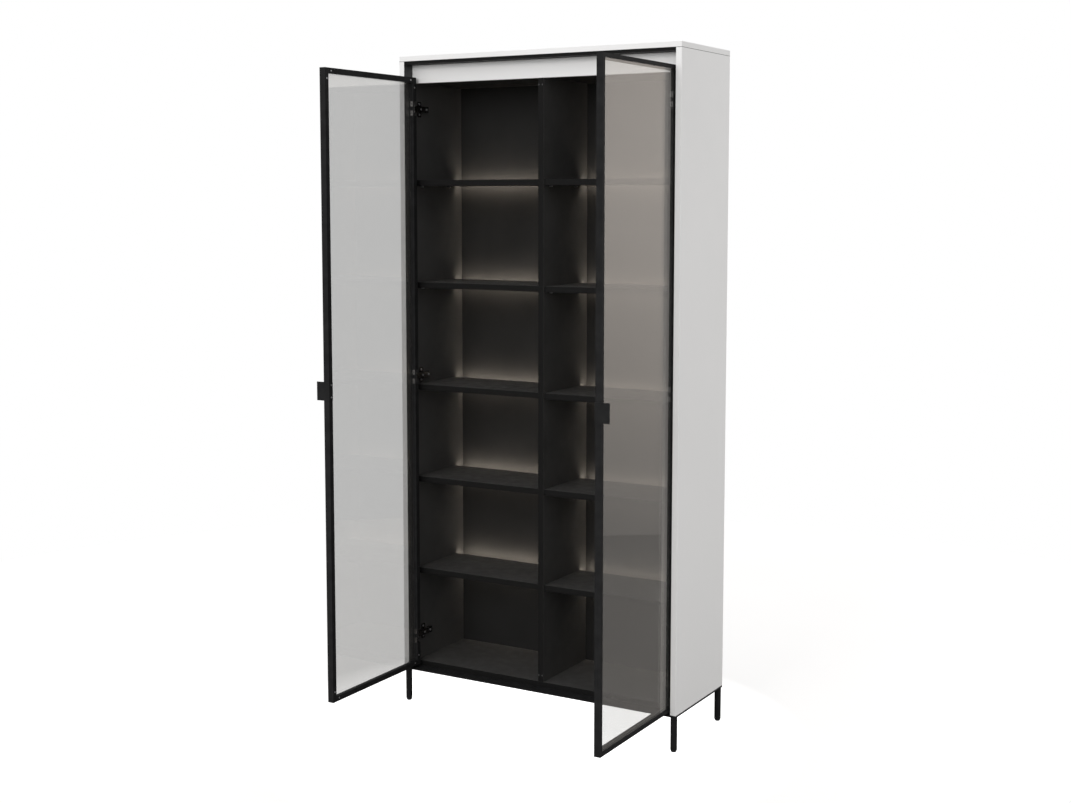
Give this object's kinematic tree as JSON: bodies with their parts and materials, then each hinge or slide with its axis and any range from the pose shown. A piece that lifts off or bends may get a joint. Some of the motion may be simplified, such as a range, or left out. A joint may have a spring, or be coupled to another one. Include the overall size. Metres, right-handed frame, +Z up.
{
  "type": "china cabinet",
  "caption": "Tall free-standing china cabinet: white outer shell, recessed black lit interior with shelves, framed glass doors on concealed hinges, slim round legs.",
  "frame": {"origin": "on the floor, in the middle of the space that the cabinet and its open doors take up", "axes": "+X to the right seen from the front, -Y to the front where the doors open, +Z up"},
  "size_m": [0.963, 0.7646, 2.045],
  "materials": {
    "white_board": "smooth matt white lacquer",
    "black_board": "matt black foil",
    "black_metal": "satin black powder coat",
    "door_glass": "lightly tinted clear glass",
    "black_rubber": "matt",
    "hinge_steel": "nickel plated",
    "zinc_steel": "zinc plated",
    "cast_aluminium": "as cast",
    "light_diffuser": "milky, lit warm white",
    "black_plastic": "moulded",
    "beech_dowel": "bare"
  },
  "bodies": {
    "cabinet": {"back_panel": "black_board", "base_plate": "black_metal", "bottom_board": "black_board", "carcass_dowels": "beech_dowel", "carcass_top": "black_board", "centre_divider": "black_board", "door_bumpers": "black_rubber", "front_left_leg": "black_metal", "front_right_leg": "black_metal", "hinge_arms": "hinge_steel", "hinge_plates": "hinge_steel", "hinge_screws": "hinge_steel", "left_shelf_1": "black_board", "left_shelf_2": "black_board", "left_shelf_3": "black_board", "left_shelf_4": "black_board", "left_shelf_5": "black_board", "left_side_lining": "black_board", "left_side_panel": "white_board", "leg_glides": "black_plastic", "leg_studs": "zinc_steel", "light_diffusers": "light_diffuser", "light_driver": "black_plastic", "light_housings": "black_metal", "rear_left_leg": "black_metal", "rear_right_leg": "black_metal", "right_shelf_1": "black_board", "right_shelf_2": "black_board", "right_shelf_3": "black_board", "right_shelf_4": "black_board", "right_shelf_5": "black_board", "right_side_lining": "black_board", "right_side_panel": "white_board", "shelf_pins": "zinc_steel", "top_fascia": "white_board", "top_liner": "black_board", "top_panel": "white_board", "wall_brackets": "black_metal", "wiring_ducts": "black_plastic"},
    "left_door": {"left_door_bottom_rail": "black_metal", "left_door_corner_keys": "cast_aluminium", "left_door_free_stile": "black_metal", "left_door_gasket": "black_rubber", "left_door_glass": "door_glass", "left_door_hinge_cups": "hinge_steel", "left_door_hinge_stile": "black_metal", "left_door_pull": "black_metal", "left_door_screws": "zinc_steel", "left_door_top_rail": "black_metal"},
    "right_door": {"right_door_bottom_rail": "black_metal", "right_door_corner_keys": "cast_aluminium", "right_door_free_stile": "black_metal", "right_door_gasket": "black_rubber", "right_door_glass": "door_glass", "right_door_hinge_cups": "hinge_steel", "right_door_hinge_stile": "black_metal", "right_door_pull": "black_metal", "right_door_screws": "zinc_steel", "right_door_top_rail": "black_metal"}
  },
  "joints": [
    {"name": "left_door_hinge", "type": "hinge", "parent": "cabinet", "child": "left_door", "pos_m": [-0.45475, 0.07, 1.0495], "axis": [0, 0, 1], "range_deg": [-5, 90]},
    {"name": "right_door_hinge", "type": "hinge", "parent": "cabinet", "child": "right_door", "pos_m": [0.45475, 0.07, 1.0495], "axis": [0, 0, -1], "range_deg": [-5, 90]}
  ]
}
